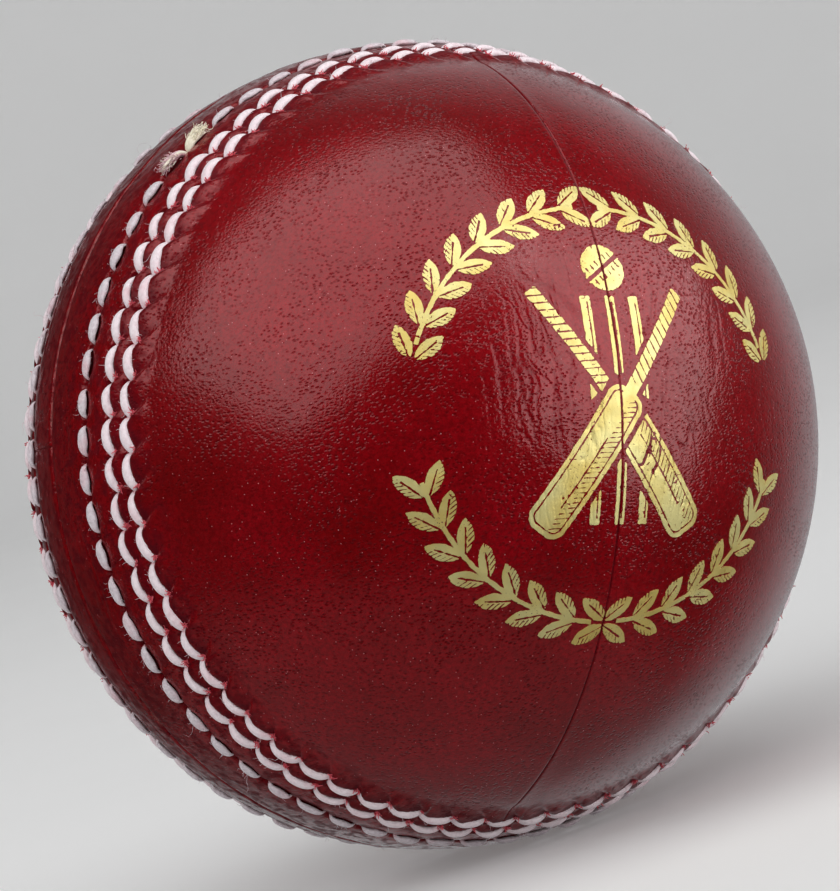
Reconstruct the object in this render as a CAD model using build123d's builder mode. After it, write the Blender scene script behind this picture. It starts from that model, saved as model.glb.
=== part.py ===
"""Four-piece cricket ball: a wound cork centre inside two leather cups closed by a six-row stitched seam.

The origin is the ball's centre. The seam stands upright in the XZ plane, so the seam's axis is Y: the front
cup, which carries the gold stamp, faces -Y and the back cup faces +Y. +Z is up. Sizes are in millimetres.
"""

from math import cos, degrees, radians, sin
import os

from build123d import *

os.makedirs("parts", exist_ok=True)

# ---------------------------------------------------------------- driving dimensions
cup_radius = 35.4  # outside of the leather away from the seam
lip_radius = 36.45  # top of the raised lip beside the joint between the cups
lip_round = 0.5  # rounding of the lip's edge at the joint
leather_thickness = 3.2
fit_gap = 0.06  # daylight between neighbouring pieces that press on each other
joint_gap = 0.12  # visible line between the two cups

# the seam, as distances along the surface from the joint between the cups
lip_edge = 4.6  # where the smooth lip ends and the stitched band starts
inner_row = 5.7  # hand-sewn rows that close the cups together
middle_row = 9.15  # machine-sewn rows that bind and raise each cup's edge
outer_row = 11.35
seam_edge = 13.3  # where the raised leather has died away into the cup

stitches_per_row = 68
stitch_slant = 8.0  # degrees that a stitch leans across its row
inner_thread = 1.0  # thread thickness of the hand-sewn rows
outer_thread = 0.8  # thread thickness of the machine-sewn rows
stitch_length = 2.9
bed_width = 1.5  # channel that the thread beds into
bed_share = 2 / 3  # share of a thread's thickness that lies below the leather beside it

# quarter seams: each cup is two quarters, and the two cups' quarter seams cross at right angles
quarter_lean = 16.0  # degrees from upright, front cup
quarter_groove = 0.15  # depth and half width of the line on the outside
quarter_channel_width = 5.0  # skived channel inside, for the blind stitches
quarter_channel_depth = 0.9
quarter_thread = 0.6
quarter_stitch_length = 4.2
quarter_stitch_pitch = 3.4

# the wound centre: a cork nucleus, then worsted yarn and cork in turn
nucleus_radius = 12.0
wound_layers = 9  # yarn, cork, yarn ... yarn
cork_strips = 6  # strips round each cork layer
strip_gap = 0.5
strip_end = 70.0  # degrees of latitude where the strips stop and the end caps start

# the gold stamp on the front cup: a wreath in two arcs round crossed bats, stumps and a ball
foil_thickness = 0.05
foil_lift = 0.02
wreath_radius = 17.4
wreath_gap = 19.0  # degrees from level where the arcs stop
wreath_leaves = 8  # pairs of leaves on each half of an arc
leaf_length = 3.0
leaf_width = 1.3
leaf_spread = 32.0  # degrees between a leaf and the stem
leaf_offset = 1.0  # from the stem to the middle of a leaf
stem_width = 0.35
stem_tip = 4.0  # degrees from the middle of an arc to the nearest leaves
bat_tilt = 35.0
blade_length = 14.0
blade_width = 3.6
handle_length = 10.5
handle_width = 1.2
handle_overlap = 0.7  # how far the handle runs into the blade
blade_round = 1.2
stump_height = 19.0
stump_width = 0.9
stump_spacing = 2.3
motif_gap = 0.45  # bare leather that keeps one shape clear of the next
motif_ball = 2.0

inner_radius = cup_radius - leather_thickness
core_radius = inner_radius - fit_gap
layer_step = (core_radius - nucleus_radius) / wound_layers
cutter_margin = 1.0  # how far a cutting shape reaches past the leather
pole = 90.0  # degrees of latitude from the joint plane to a cup's pole


def latitude(distance):
    """Angle from the joint plane, in degrees, of a point that far along the cup from the joint."""
    return degrees(distance / cup_radius)


def on_meridian(radius, angle, side):
    """Point of the half section: across from the seam's axis, then along it. Side is -1 front, 1 back."""
    return (radius * cos(radians(angle)), side * radius * sin(radians(angle)))


def raised_radius(distance):
    """Outside of the raised leather: it falls evenly from the lip's top to the cup."""
    share = max(0.0, min(1.0, (seam_edge - distance) / (seam_edge - lip_edge)))
    return cup_radius + (lip_radius - cup_radius) * share


def bed_radius(row, thread):
    """Floor of a thread's channel, so deep that most of the thread sits below the leather beside it."""
    return raised_radius(row) - thread * bed_share


# ---------------------------------------------------------------- wound centre
with BuildPart() as cork_nucleus:
    Sphere(nucleus_radius - fit_gap)
cork_nucleus.part.label = "cork_nucleus"
export_step(cork_nucleus.part, "parts/cork_nucleus.step")


def layer_radii(layer):
    """Inside and outside of one wound layer, counted from the nucleus."""
    inside = nucleus_radius + layer * layer_step
    return inside, inside + layer_step - fit_gap


for number in range(1, wound_layers // 2 + 2):
    inside, outside = layer_radii(2 * number - 2)
    with BuildPart() as yarn_winding:
        Sphere(outside)
        Sphere(inside, mode=Mode.SUBTRACT)
    name = f"yarn_winding_{number}"
    yarn_winding.part.label = name
    export_step(yarn_winding.part, f"parts/{name}.step")

for number in range(1, wound_layers // 2 + 1):
    inside, outside = layer_radii(2 * number - 1)
    strip_turn = 360 / cork_strips
    # each layer's strips start between the strips of the layer below
    layer_turn = number * strip_turn / 2
    cut = degrees(strip_gap / outside)
    with BuildPart() as cork_layer:
        for strip in range(cork_strips):
            strip_plane = Plane.XZ.rotated((0, 0, layer_turn + strip * strip_turn))
            with BuildSketch(strip_plane):
                with BuildLine():
                    outer_side = CenterArc((0, 0), outside, -strip_end, 2 * strip_end)
                    inner_side = CenterArc((0, 0), inside, -strip_end, 2 * strip_end)
                    Line(outer_side @ 0, inner_side @ 0)
                    Line(outer_side @ 1, inner_side @ 1)
                make_face()
            revolve(axis=Axis.Z, revolution_arc=strip_turn - cut)
        for end_angle in (strip_end + cut, -pole):
            with BuildSketch(Plane.XZ):
                with BuildLine():
                    reach = pole - strip_end - cut
                    outer_side = CenterArc((0, 0), outside, end_angle, reach)
                    inner_side = CenterArc((0, 0), inside, end_angle, reach)
                    Line(outer_side @ 0, inner_side @ 0)
                    Line(outer_side @ 1, inner_side @ 1)
                make_face()
            revolve(axis=Axis.Z)
    name = f"cork_strips_{number}"
    cork_layer.part.label = name
    export_step(cork_layer.part, f"parts/{name}.step")


# ---------------------------------------------------------------- leather quarters
def bed_corners(row, thread):
    """The four corners of one thread channel, as (distance from the joint, radius)."""
    floor = bed_radius(row, thread)
    return [
        (row - bed_width / 2 - fit_gap, raised_radius(row - bed_width / 2)),
        (row - bed_width / 2, floor),
        (row + bed_width / 2, floor),
        (row + bed_width / 2 + fit_gap, raised_radius(row + bed_width / 2)),
    ]


def raised_corners():
    """Corners of the raised leather's outside, as (distance from the joint, radius)."""
    corners = [(lip_edge, lip_radius)]
    corners += bed_corners(inner_row, inner_thread)
    corners += bed_corners(middle_row, outer_thread)
    corners += bed_corners(outer_row, outer_thread)
    corners += [(seam_edge, cup_radius)]
    return corners


def quarter(side, lean):
    """One leather quarter: half of a cup, cut along the plane that leans that many degrees from upright."""
    along = Vector(sin(radians(lean)), 0, cos(radians(lean)))
    section_plane = Plane(origin=(0, 0, 0), x_dir=along, z_dir=along.cross(Vector(0, 1, 0)))
    cross_plane = Plane(origin=(0, 0, 0), x_dir=along, z_dir=(0, -1, 0))
    seam_axis = Axis((0, 0, 0), section_plane.z_dir)
    corners = [on_meridian(radius, latitude(distance), side) for distance, radius in raised_corners()]
    joint_face = side * joint_gap / 2
    lip_start = (lip_radius - lip_round, joint_face)
    mid_cup = (latitude(seam_edge) + pole) / 2
    groove_reach = lip_radius + cutter_margin
    with BuildPart() as piece:
        with BuildSketch(section_plane):
            with BuildLine():
                Line((inner_radius, joint_face), lip_start)
                ThreePointArc(
                    lip_start,
                    on_meridian(lip_radius - lip_round / 4, latitude(lip_round), side),
                    on_meridian(lip_radius, latitude(2 * lip_round), side),
                )
                ThreePointArc(
                    on_meridian(lip_radius, latitude(2 * lip_round), side),
                    on_meridian(lip_radius, latitude(lip_edge / 2), side),
                    corners[0],
                )
                Polyline(*corners)
                ThreePointArc(corners[-1], on_meridian(cup_radius, mid_cup, side), (0, side * cup_radius))
                Line((0, side * cup_radius), (0, side * inner_radius))
                ThreePointArc(
                    (0, side * inner_radius),
                    on_meridian(inner_radius, pole / 2, side),
                    (inner_radius, joint_face),
                )
            make_face()
        revolve(axis=Axis.Y, revolution_arc=180)
        # the line on the outside, where the two edges are drawn together
        with BuildSketch(cross_plane):
            with BuildLine():
                Polyline(
                    (cup_radius - quarter_groove, 0),
                    (cup_radius, quarter_groove),
                    (groove_reach, quarter_groove),
                    (groove_reach, -quarter_groove),
                    (cup_radius, -quarter_groove),
                    close=True,
                )
            make_face()
        revolve(axis=seam_axis, mode=Mode.SUBTRACT)
        # the skived channel inside, for the blind stitches
        with BuildSketch(cross_plane):
            with Locations((inner_radius, 0)):
                Rectangle(2 * quarter_channel_depth, quarter_channel_width)
        revolve(axis=seam_axis, mode=Mode.SUBTRACT)
    return piece.part


for name, side, lean in (
    ("front_left_quarter", -1, quarter_lean),
    ("front_right_quarter", -1, quarter_lean + 180),
    ("back_upper_quarter", 1, quarter_lean + 90),
    ("back_lower_quarter", 1, quarter_lean + 270),
):
    leather = quarter(side, lean)
    leather.label = name
    export_step(leather, f"parts/{name}.step")


# ---------------------------------------------------------------- blind stitches of the quarter seams
# They lie in the skived channel, between the leather and the wound centre, and bridge the two edges.
with BuildPart() as blind_stitch:
    with BuildSketch(Plane.XZ):
        with Locations((inner_radius + quarter_thread, 0)):
            SlotOverall(quarter_stitch_length, quarter_thread, rotation=90)
        split(bisect_by=Plane.YZ.offset(inner_radius + quarter_thread))
    revolve(axis=Axis((inner_radius + quarter_thread, 0, 0), (0, 0, 1)))

blind_turn = quarter_stitch_pitch / (inner_radius + quarter_thread)
blind_reach = radians(pole - latitude(inner_row))
blind_count = 2 * int(blind_reach / blind_turn) + 1

for name, side, lean in (
    ("front_quarter_thread", -1, quarter_lean),
    ("back_quarter_thread", 1, quarter_lean + 90),
):
    along = Vector(sin(radians(lean)), 0, cos(radians(lean)))
    towards_pole = Vector(0, side, 0)
    seam_plane = Plane(origin=(0, 0, 0), x_dir=towards_pole, z_dir=towards_pole.cross(along))
    with BuildPart(seam_plane) as quarter_stitches:
        with PolarLocations(
            0,
            blind_count,
            start_angle=-degrees(blind_turn) * (blind_count - 1) / 2,
            angular_range=degrees(blind_turn) * blind_count,
            endpoint=False,
        ):
            add(blind_stitch.part)
    quarter_stitches.part.label = name
    export_step(quarter_stitches.part, f"parts/{name}.step")


# ---------------------------------------------------------------- seam stitches
def stitch_row(distance, thread, side):
    """One row of stitches round the seam, each a short spindle of thread bedded in the leather."""
    angle = radians(latitude(distance))
    middle = bed_radius(distance, thread) + thread / 2 + fit_gap
    with BuildPart() as stitch:
        with BuildSketch(Plane.XY):
            SlotOverall(stitch_length, thread, rotation=90)
            split(bisect_by=Plane.YZ)
        revolve(axis=Axis.Y)
    row_plane = Plane.XZ.offset(-side * middle * sin(angle))
    with BuildPart(row_plane) as row:
        with PolarLocations(middle * cos(angle), stitches_per_row):
            add(stitch.part, rotation=(stitch_slant, 0, 0))
    return row.part


for name, distance, thread in (
    ("inner_thread", inner_row, inner_thread),
    ("middle_thread", middle_row, outer_thread),
    ("outer_thread", outer_row, outer_thread),
):
    for cup, side in (("front", -1), ("back", 1)):
        stitches = stitch_row(distance, thread, side)
        stitches.label = f"{cup}_{name}"
        export_step(stitches, f"parts/{cup}_{name}.step")


# ---------------------------------------------------------------- gold stamp
lean = radians(quarter_lean)
stamp_plane = Plane(origin=(0, 0, 0), x_dir=(cos(lean), 0, -sin(lean)), z_dir=(0, -1, 0))
foil_inside = cup_radius + foil_lift
foil_outside = foil_inside + foil_thickness
branch_reach = 90 - wreath_gap - stem_tip

with BuildSketch() as leaf:
    with BuildLine():
        ThreePointArc((-leaf_length / 2, 0), (0, leaf_width / 2), (leaf_length / 2, 0))
        ThreePointArc((-leaf_length / 2, 0), (0, -leaf_width / 2), (leaf_length / 2, 0))
    make_face()

with BuildPart() as gold_wreath:
    with BuildSketch(stamp_plane):
        for start_angle in (wreath_gap, -90 + stem_tip):
            with PolarLocations(
                wreath_radius,
                wreath_leaves,
                start_angle=start_angle,
                angular_range=branch_reach,
                endpoint=True,
            ):
                for across, turn in ((1, 90 - leaf_spread), (-1, 90 + leaf_spread)):
                    with Locations((across * leaf_offset, 0)):
                        add(leaf.sketch, rotation=turn)
            with BuildLine():
                outer_stem = CenterArc((0, 0), wreath_radius + stem_width / 2, start_angle, branch_reach)
                inner_stem = CenterArc((0, 0), wreath_radius - stem_width / 2, start_angle, branch_reach)
                Line(outer_stem @ 0, inner_stem @ 0)
                Line(outer_stem @ 1, inner_stem @ 1)
            make_face()
        mirror(about=Plane.YZ)
    extrude(amount=foil_outside)
    Sphere(foil_outside, mode=Mode.INTERSECT)
    Sphere(foil_inside, mode=Mode.SUBTRACT)
gold_wreath.part.label = "gold_wreath"
export_step(gold_wreath.part, "parts/gold_wreath.step")

bat_length = blade_length + handle_length
bat_places = [Location((0, 0, 0), (0, 0, turn)) for turn in (bat_tilt, -bat_tilt)]
blade_middle = blade_length / 2 - bat_length / 2
handle_middle = bat_length / 2 - handle_length / 2
with BuildPart() as gold_motif:
    with BuildSketch(stamp_plane):
        with GridLocations(stump_spacing, 1, 3, 1):
            Rectangle(stump_width, stump_height)
        # each bat clears the leather round itself first, so that it stands out from what is behind it
        for place in bat_places:
            with Locations(place):
                with Locations((0, blade_middle)):
                    Rectangle(
                        blade_width + 2 * motif_gap, blade_length + 2 * motif_gap, mode=Mode.SUBTRACT
                    )
                with Locations((0, handle_middle)):
                    Rectangle(handle_width + 2 * motif_gap, handle_length, mode=Mode.SUBTRACT)
                with Locations((0, blade_middle)):
                    RectangleRounded(blade_width, blade_length, blade_round)
                with Locations((0, handle_middle - handle_overlap / 2)):
                    Rectangle(handle_width, handle_length + handle_overlap)
        with Locations((0, stump_height / 2 + motif_ball + motif_gap)):
            Circle(motif_ball)
            Rectangle(2 * motif_ball, stem_width, rotation=bat_tilt, mode=Mode.SUBTRACT)
    extrude(amount=foil_outside)
    Sphere(foil_outside, mode=Mode.INTERSECT)
    Sphere(foil_inside, mode=Mode.SUBTRACT)
gold_motif.part.label = "gold_motif"
export_step(gold_motif.part, "parts/gold_motif.step")
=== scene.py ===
"""The looks of the four-piece cricket ball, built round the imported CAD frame.

The ball's lengths are in millimetres until a mesh is written, when MM turns them into metres. The lights and
the camera are placed in metres. A cup is described by two surface coordinates: s, the distance along the
leather from the joint between the cups, and a, the angle round the seam's axis. The front cup's pole points
to -Y, and the back cup is the front cup turned half way round Z.
"""

from math import cos, pi, radians, sin

import bmesh
import bpy
import numpy as np
from mathutils import Matrix, Vector


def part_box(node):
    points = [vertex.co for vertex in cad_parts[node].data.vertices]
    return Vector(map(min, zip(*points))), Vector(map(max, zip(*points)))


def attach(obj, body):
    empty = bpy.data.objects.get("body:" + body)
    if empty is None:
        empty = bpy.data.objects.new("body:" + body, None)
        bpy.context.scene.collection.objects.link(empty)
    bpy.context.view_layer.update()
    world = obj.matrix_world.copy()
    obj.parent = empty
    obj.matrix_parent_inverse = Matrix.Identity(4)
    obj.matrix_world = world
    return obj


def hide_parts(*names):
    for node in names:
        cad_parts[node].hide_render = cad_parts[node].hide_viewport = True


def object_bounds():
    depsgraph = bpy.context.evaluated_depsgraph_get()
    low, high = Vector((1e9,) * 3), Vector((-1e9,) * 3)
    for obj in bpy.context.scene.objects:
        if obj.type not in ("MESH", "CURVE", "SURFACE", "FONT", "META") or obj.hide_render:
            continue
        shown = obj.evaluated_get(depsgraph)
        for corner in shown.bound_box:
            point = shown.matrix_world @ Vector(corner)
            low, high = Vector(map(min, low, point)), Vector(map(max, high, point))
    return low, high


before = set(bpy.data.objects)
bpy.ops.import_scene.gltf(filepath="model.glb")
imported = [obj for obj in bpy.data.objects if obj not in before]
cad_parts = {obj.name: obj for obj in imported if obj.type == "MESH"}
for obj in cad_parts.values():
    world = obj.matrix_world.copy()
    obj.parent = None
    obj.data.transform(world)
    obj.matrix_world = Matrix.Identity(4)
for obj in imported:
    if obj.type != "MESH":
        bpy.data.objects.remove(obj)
cad_low, cad_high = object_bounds()

MM = 0.001

# ---- sizes, from the frame where it has them
CUP = -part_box("front_left_quarter")[0].y / MM  # radius of the cup away from the seam
LIP = cad_high.z / MM  # radius of the raised lip beside the joint
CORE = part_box("yarn_winding_5")[1].z / MM  # radius of the wound centre
JOINT_HALF = 0.06  # half of the gap between the cups
STITCHES = 68
QUARTER_LEAN = radians(16)  # the front cup's quarter seam leans this far from upright


def row_distance(node):
    """How far a row of stitches runs from the joint, along the leather."""
    low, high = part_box(node)
    middle = -(low.y + high.y) / 2 / MM
    return CUP * np.arcsin(middle / (CUP + 0.3))


INNER_ROW = row_distance("front_inner_thread")
MIDDLE_ROW = row_distance("front_middle_thread")
OUTER_ROW = row_distance("front_outer_thread")
SEAM_EDGE = OUTER_ROW + 2.0
TOOTH_SLOPE = 0.75  # how far a tooth's edge runs back along the row for each millimetre towards the pole

# ---- relief of the leather, heights and depths
BELOW_LIP = 0.10  # room that the lip leaves for lumps and hairs inside the frame's size
EDGE_DROP = 0.42  # rounding of the lip at the joint
LIP_FOLD = 0.055
LIP_CRACK = 0.05
VALLEY = 0.14  # along the hand-sewn row
HAND_BED = 0.36  # under a hand-sewn stitch
HAND_HOLE = 0.40
MIDDLE_TOOTH = 0.34
OUTER_TOOTH = 0.42
MACHINE_BED = 0.42
MACHINE_HOLE = 0.30
PUFF = 0.10  # leather squeezed up between two machine stitches
SEAM_RIDGE = 0.05
SEAM_STEP = 0.035  # one quarter stands a little higher than the other
SEAM_LINE = 0.10
WRINKLE = 0.05
POLE_DROP = 0.055  # the cup away from the seam, which makes room for the foil
THREAD_SEAT = 0.19  # how far a thread's underside sits below the leather
THREAD_DIVE = 0.60  # how far its ends go down into the holes


# ---- smooth noise
class Noise:
    """Smooth value noise from a fixed table, the same on every run."""

    def __init__(self, seed):
        self.table = np.random.default_rng(seed).random(4096)

    def _corner(self, x, y, z):
        return self.table[(x * 73856093 ^ y * 19349663 ^ z * 83492791) % 4096]

    def __call__(self, x, y, z=0.0):
        x, y, z = np.broadcast_arrays(np.asarray(x, float), np.asarray(y, float), np.asarray(z, float))
        cell = [np.floor(c).astype(np.int64) for c in (x, y, z)]
        part = [c - np.floor(c) for c in (x, y, z)]
        part = [p * p * (3 - 2 * p) for p in part]
        total = 0.0
        for corner in np.ndindex(2, 2, 2):
            weight = 1.0
            for share, far in zip(part, corner):
                weight = weight * (share if far else 1 - share)
            total = total + weight * self._corner(*(c + far for c, far in zip(cell, corner)))
        return total * 2 - 1


def smooth(low, high, value):
    """0 below low, 1 above high, smooth between."""
    t = np.clip((value - low) / (high - low), 0, 1)
    return t * t * (3 - 2 * t)


def bump(value, width):
    return np.exp(-((value / width) ** 2))


# ---- stitch rows
class Row:
    """One row of stitches on a cup: where each stitch lies, and how far a point is from the nearest one.

    size is a stitch's length, width and height. slant and bulge lean and bend its centreline, sink lowers it,
    arch says how flat it stays before its ends dive, and pointed and power how its width tapers.
    """

    def __init__(self, distance, size, seed, slant, bulge=0.0, sink=0.0, arch=2.6, pointed=0.26, power=3):
        self.distance = distance
        self.length, self.width, self.height = size
        self.slant, self.bulge, self.sink = slant, bulge, sink
        self.arch, self.pointed, self.power = arch, pointed, power
        random = np.random.default_rng(seed)
        self.shift = random.normal(0, 0.05, STITCHES)  # along the row
        self.drift = random.normal(0, 0.07, STITCHES)  # across the row
        self.stretch = random.normal(1, 0.04, STITCHES)
        self.lift = random.normal(0, 0.035, STITCHES)
        self.plump = random.normal(1, 0.06, STITCHES)
        self.lean = random.normal(0, 0.05, STITCHES)
        self.pitch = 2 * pi * CUP * cos(distance / CUP) / STITCHES

    def local(self, s, a):
        """The nearest stitch's number, and the distances along and across the row from its middle."""
        turn = a * STITCHES / (2 * pi)
        number = np.round(turn).astype(int)
        index = number % STITCHES
        along = (turn - number) * self.pitch - self.shift[index]
        across = s - self.distance - self.drift[index]
        return index, along, across

    def middle(self, t, index):
        """Across-row place of the thread's centreline, t from -0.5 to 0.5 along the stitch."""
        return (self.slant + self.lean[index]) * self.length * t - self.bulge * (1 - 4 * t * t)

    def nearest(self, s, a):
        """Distance across the thread, distance past its ends, and the place t along it."""
        index, along, across = self.local(s, a)
        length = self.length * self.stretch[index]
        t = np.clip(along / length, -0.5, 0.5)
        beside = across - self.middle(t, index)
        past = np.maximum(np.abs(along) - length / 2, 0)
        return index, beside, past, t


# ---- leather
class Cup:
    """Outside of one leather cup as a radius over (s, a), with everything that the stitching does to it."""

    def __init__(self, seam_angle, seed, sink):
        self.seam_angle = seam_angle
        self.noise = Noise(seed)
        hand_sewn = {"sink": sink, "arch": 6.0, "pointed": 0.84, "power": 2.0}
        self.inner = Row(INNER_ROW, (2.62, 1.22, 0.56), seed + 1, slant=0.04, **hand_sewn)
        self.middle = Row(MIDDLE_ROW, (2.95, 0.94, 0.66), seed + 2, slant=0.14, bulge=0.28)
        self.outer = Row(OUTER_ROW, (3.0, 0.98, 0.66), seed + 3, slant=0.14, bulge=0.30)

    def direction(self, s, a):
        latitude = s / CUP
        return np.stack([np.cos(latitude) * np.cos(a), -np.sin(latitude), np.cos(latitude) * np.sin(a)], -1)

    def from_direction(self, d):
        s = CUP * np.arcsin(np.clip(-d[..., 1], -1, 1))
        return s, np.arctan2(d[..., 2], d[..., 0])

    def seam_distance(self, s, a):
        """Signed distance from the quarter seam's plane."""
        return CUP * np.cos(s / CUP) * np.sin(a - self.seam_angle)

    def seam_place(self, s, a):
        """Signed distance along the quarter seam from the plane square to it."""
        return CUP * np.cos(s / CUP) * np.cos(a - self.seam_angle)

    def seam_waver(self, s):
        """The quarter seam's line isn't quite straight."""
        return 0.10 * self.noise(s / 2.3, 3.0)

    def base(self, s):
        """The raised seam without stitches: a flat lip that falls away to the cup."""
        fall = smooth(3.6, SEAM_EDGE + 1.6, s)
        edge = (1 - smooth(-0.25, 0.62, s)) ** 2
        return CUP + (LIP - BELOW_LIP - CUP) * (1 - fall) - EDGE_DROP * edge

    def unevenness(self, s, point):
        """Hand-shaped swells everywhere, and shorter lumps near the seam."""
        n = self.noise
        x, y, z = point
        near = 1 - smooth(10, 20, s)
        swell = 0.03 * (n(x / 11, y / 11, z / 11) - 1)
        lumps = (0.012 + 0.03 * near) * n(x / 3.1 + 7, y / 3.1, z / 3.1)
        fine = 0.02 * n(x / 1.1, y / 1.1, z / 1.1 + 5) + 0.018 * n(x / 0.45, y / 0.45 + 3, z / 0.45)
        return swell + lumps + near * fine

    def stained(self, s, point):
        """Dark blotches on the handled leather of the seam."""
        x, y, z = point
        return 0.65 * (1 - smooth(12, 16, s)) * smooth(-0.1, 0.5, self.noise(x / 0.5, y / 0.5, z / 0.5 + 8))

    def lip_marks(self, s, a):
        """Depth of the long folds beside the hand-sewn row, and of the short cracks across the lip."""
        n = self.noise
        on_lip = smooth(2.2, 3.6, s) * (1 - smooth(4.2, 5.0, s))
        folds = 1 - smooth(0.0, 0.16, np.abs(n(a * CUP / 7.0, s / 0.5)))
        folds = folds * smooth(-0.2, 0.4, n(a * 3.0, 17.0))
        cracks = 1 - smooth(0.0, 0.06, np.abs(n(a * CUP / 1.9 + 31, s / 3.0 + 9)))
        cracks = cracks * smooth(0.0, 0.5, n(a * 5.0, 29.0))
        return on_lip * (LIP_FOLD * folds + LIP_CRACK * cracks)

    def hand_sewn_beds(self, s, a):
        """Depth of the inner row's valley, with a bed for each stitch and a hole between them, and the
        painted shade that darkens the beds and the holes.
        """
        _, along, _ = self.inner.local(s, a)
        _, beside, past, t = self.inner.nearest(s, a)
        away = np.hypot(0.78 * beside, past) + 0.30 * (2 * np.abs(t)) ** 2
        hole = bump(np.hypot(self.inner.pitch / 2 - np.abs(along), beside), 0.24)
        bed = 1 - smooth(0.30, 0.52, away)
        depth = VALLEY * bump(s - INNER_ROW, 1.1) + HAND_BED * bed + HAND_HOLE * hole
        # painted shade: the bed round each stitch and the holes between stitches are darkened
        return depth, np.maximum(0.9 * (1 - smooth(0.34, 0.62, away)), hole)

    def machine_sewn_beds(self, row, tooth_height, reach, s, a, point):
        """Height of a machine-sewn row, and the painted shade in its beds, its holes and under its teeth
        beside the threads: the leather on the pole side rises in saw teeth.

        Each tooth starts at one stitch, dies away over reach, and ends over the next stitch's end.
        """
        n = self.noise
        x, y, z = point
        index, beside, past, t = row.nearest(s, a)
        _, along, across = row.local(s, a)
        side = across - row.middle(t, index)
        back_run = TOOTH_SLOPE * np.clip(across, -0.2, 2.6)
        tooth = (a * STITCHES / (2 * pi) + back_run / row.pitch + 0.5 - 0.03) % 1
        climb = (1 - (1 - np.clip(tooth / 0.30, 0, 1)) ** 2.4) * (1 - tooth) ** 0.9
        on_pole_side = smooth(-0.10, 0.35, side) * (1 - smooth(0.25 * reach, reach, across))
        over = smooth(-0.02, 0.16, along + back_run - 0.47 * row.pitch) * smooth(-0.05, 0.2, across)
        away = np.hypot(beside, past * 1.2)
        between = row.pitch / 2 - np.abs(along)
        hole = bump(np.hypot(between, across + 0.12), 0.24)
        height = tooth_height * climb * on_pole_side * (1 + 0.3 * n(index * 1.7, 3.0))
        height = height - MACHINE_BED * (1 - smooth(0.30, 0.48, away)) * (1 - over) - MACHINE_HOLE * hole
        height = height - 0.05 * smooth(-1.4, -0.5, side) * (1 - smooth(-0.5, 0.0, side))
        height = height + PUFF * bump(np.hypot(between, across + 0.55), 0.32)
        shadow = smooth(0.45, 0.97, tooth) * on_pole_side + bump(side - 0.75, 0.5)
        shadow = shadow * (1 + 0.5 * n(x / 0.3, y / 0.3 + 5, z / 0.3))
        # painted shade: the bed round each thread and the holes are darkened as well as the shadow band under
        # the teeth
        bed = (1 - smooth(0.36, 0.60, away)) * (1 - over)
        return height, np.maximum(np.maximum(bed, 0.9 * hole), 0.7 * shadow)

    def quarter_seam(self, s, a):
        """Height of the quarter seam and the darkness of its joint: a low ridge with a fine dark line down
        its middle.
        """
        across = self.seam_distance(s, a)
        clear = smooth(SEAM_EDGE, SEAM_EDGE + 2, s)
        open_line = 0.45 + 0.55 * smooth(-0.4, 0.3, self.noise(self.seam_place(s, a) / 9, 21.0))
        step = SEAM_STEP * np.tanh((across + self.seam_waver(s)) / 0.5) * bump(across, 2.5)
        ridge = clear * (SEAM_RIDGE * bump(across, 0.9) + step)
        dirt_and_shade = (0.35 + 0.4 * clear) * open_line * bump(across, 0.10)
        return ridge - SEAM_LINE * open_line * bump(across, 0.09), dirt_and_shade

    def radius(self, s, a):
        """Radius of the stitched leather, and the stains, the seam's dark line and the painted shade in its
        crevices, before the wrinkles.
        """
        point = np.moveaxis(self.direction(s, a) * CUP, -1, 0)
        beds, dirt_and_shade = self.hand_sewn_beds(s, a)
        r = self.base(s) + self.unevenness(s, point) - self.lip_marks(s, a) - beds
        # each piece gives a height and a darkening: painted shade in the machine-sewn rows, and the dark
        # joint line at the quarter seam
        for height, piece_dirt_and_shade in (
            self.machine_sewn_beds(self.middle, MIDDLE_TOOTH, 1.7, s, a, point),
            self.machine_sewn_beds(self.outer, OUTER_TOOTH, 2.6, s, a, point),
            self.quarter_seam(s, a),
        ):
            r = r + height
            dirt_and_shade = np.maximum(dirt_and_shade, piece_dirt_and_shade)
        r = r - POLE_DROP * smooth(SEAM_EDGE, SEAM_EDGE + 8, s)
        return r, np.clip(np.maximum(dirt_and_shade, self.stained(s, point)), 0, 1)

    def crease(self, s, a):
        """Wrinkles drawn by the stamping and the seam: long fine furrows beside the quarter seam."""
        along = self.seam_place(s, a)
        across = self.seam_distance(s, a)
        n = self.noise
        bend = 0.9 * n(along / 9.0, across / 9.0, 4.0) + 0.25 * n(along / 2.2, across / 2.2, 9.0)
        first = np.abs(n((across + bend) / 0.85, along / 8.5, 11.0))
        second = np.abs(n((across - 0.3 * along + bend) / 0.75 + 9, along / 4.0, 2.0))
        third = np.abs(n((across + 0.25 * along - bend) / 0.6 + 3, along / 3.0, 6.0))
        where = bump(np.hypot(across / 1.1, along / 1.05), 13.0) * smooth(0.4, 2.0, np.abs(across))
        patch = smooth(-0.2, 0.3, n(across / 3.5 + 3, along / 6.5, 8.0))
        other = smooth(-0.2, 0.3, n(across / 3.0 + 5, along / 5.0, 3.0))
        lines = (1 - smooth(0.0, 0.16, first)) * patch + 0.8 * (1 - smooth(0.0, 0.14, second)) * other
        lines = lines + 0.7 * (1 - smooth(0.0, 0.14, third)) * (1 - other)
        return lines * where

    def surface(self, s, a):
        """Radius with creases, and the stains, the seam's dark line and the painted shade in the crevices,
        with the creases darkened by painted shade.
        """
        r, dirt_and_shade = self.radius(s, a)
        crease = self.crease(s, a)
        # painted shade darkens the creases
        return r - WRINKLE * crease, np.clip(dirt_and_shade + 0.45 * crease, 0, 1)


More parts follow.
